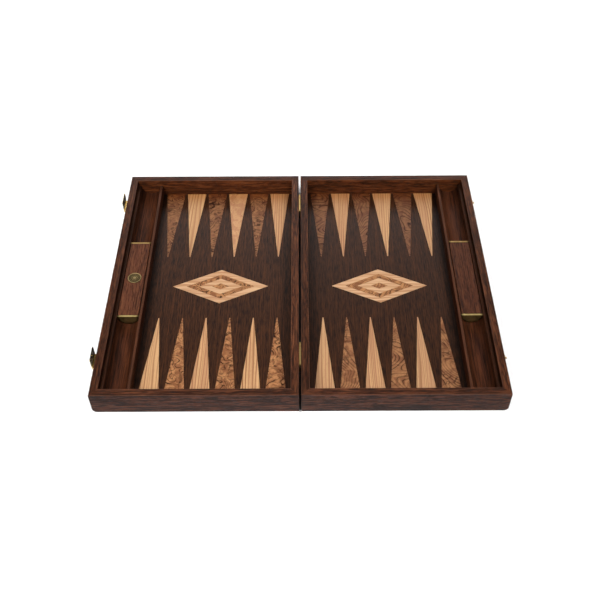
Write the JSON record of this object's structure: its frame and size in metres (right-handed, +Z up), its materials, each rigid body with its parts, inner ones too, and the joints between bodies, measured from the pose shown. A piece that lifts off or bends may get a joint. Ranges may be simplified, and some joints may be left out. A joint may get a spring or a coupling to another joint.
{
  "type": "folding backgammon case",
  "caption": "Folding wooden backgammon case with inlaid points, half-round checker racks, lidded compartments, brass butt hinges and snap latches.",
  "frame": {"origin": "on the floor under the hinge line, midway along it, with the case lying open", "axes": "+X to the right half, +Y to the far row of points, +Z up"},
  "size_m": [0.6086, 0.48, 0.0496],
  "materials": {
    "frame_wood": "satin lacquered dark wenge, straight grain",
    "base_wood": "satin dark veneer",
    "field_wood": "satin wenge veneer, fine grain along the points",
    "light_inlay": "satin light striped veneer",
    "burl_inlay": "satin burl veneer with swirling dark lines",
    "rack_wood": "satin dark reddish wood",
    "lid_wood": "satin warm brown wood",
    "plate_brass": "brushed brass",
    "fitting_brass": "polished brass",
    "screw_brass": "polished brass, slotted"
  },
  "bodies": {
    "left_half": {"left_front_rail": "frame_wood", "left_rear_rail": "frame_wood", "left_outer_rail": "frame_wood", "left_hinge_rail": "frame_wood", "left_base_panel": "base_wood", "left_field_panel": "field_wood", "left_far_light_points": "light_inlay", "left_far_burl_points": "burl_inlay", "left_near_light_points": "light_inlay", "left_near_burl_points": "burl_inlay", "left_diamond_outer_band": "light_inlay", "left_diamond_burl_band": "burl_inlay", "left_diamond_inner_band": "light_inlay", "left_diamond_centre": "burl_inlay", "left_rack": "rack_wood", "left_front_plate": "plate_brass", "left_rear_plate": "plate_brass", "rear_hinge_left_leaf": "fitting_brass", "front_hinge_left_leaf": "fitting_brass", "rear_hinge_pin": "fitting_brass", "front_hinge_pin": "fitting_brass", "left_hinge_screws": "screw_brass", "rear_latch_base": "fitting_brass", "front_latch_base": "fitting_brass", "rear_latch_pin": "fitting_brass", "front_latch_pin": "fitting_brass", "latch_screws": "screw_brass"},
    "right_half": {"right_front_rail": "frame_wood", "right_rear_rail": "frame_wood", "right_outer_rail": "frame_wood", "right_hinge_rail": "frame_wood", "right_base_panel": "base_wood", "right_field_panel": "field_wood", "right_far_light_points": "light_inlay", "right_far_burl_points": "burl_inlay", "right_near_light_points": "light_inlay", "right_near_burl_points": "burl_inlay", "right_diamond_outer_band": "light_inlay", "right_diamond_burl_band": "burl_inlay", "right_diamond_inner_band": "light_inlay", "right_diamond_centre": "burl_inlay", "right_rack": "rack_wood", "right_front_plate": "plate_brass", "right_rear_plate": "plate_brass", "rear_hinge_right_leaf": "fitting_brass", "front_hinge_right_leaf": "fitting_brass", "right_hinge_screws": "screw_brass", "rear_catch_stud": "fitting_brass", "front_catch_stud": "fitting_brass"},
    "left_cover": {"left_lid": "lid_wood", "left_badge": "fitting_brass"},
    "right_cover": {"right_lid": "lid_wood"},
    "rear_latch": {"rear_latch_tongue": "fitting_brass"},
    "front_latch": {"front_latch_tongue": "fitting_brass"}
  },
  "joints": [
    {"name": "case_fold", "type": "hinge", "parent": "left_half", "child": "right_half", "pos_m": [0, 0, 0.04015], "axis": [0, -1, 0], "range_deg": [0, 180]},
    {"name": "left_lid_lift", "type": "slide", "parent": "left_half", "child": "left_cover", "axis": [0, 0, -1], "range_m": [-0.05, 0]},
    {"name": "right_lid_lift", "type": "slide", "parent": "right_half", "child": "right_cover", "axis": [0, 0, -1], "range_m": [-0.05, 0]},
    {"name": "rear_latch_turn", "type": "hinge", "parent": "left_half", "child": "rear_latch", "pos_m": [-0.3033, 0.171, 0.03], "axis": [0, 1, 0], "range_deg": [-165, 7]},
    {"name": "front_latch_turn", "type": "hinge", "parent": "left_half", "child": "front_latch", "pos_m": [-0.3033, -0.171, 0.03], "axis": [0, 1, 0], "range_deg": [-165, 7]}
  ]
}
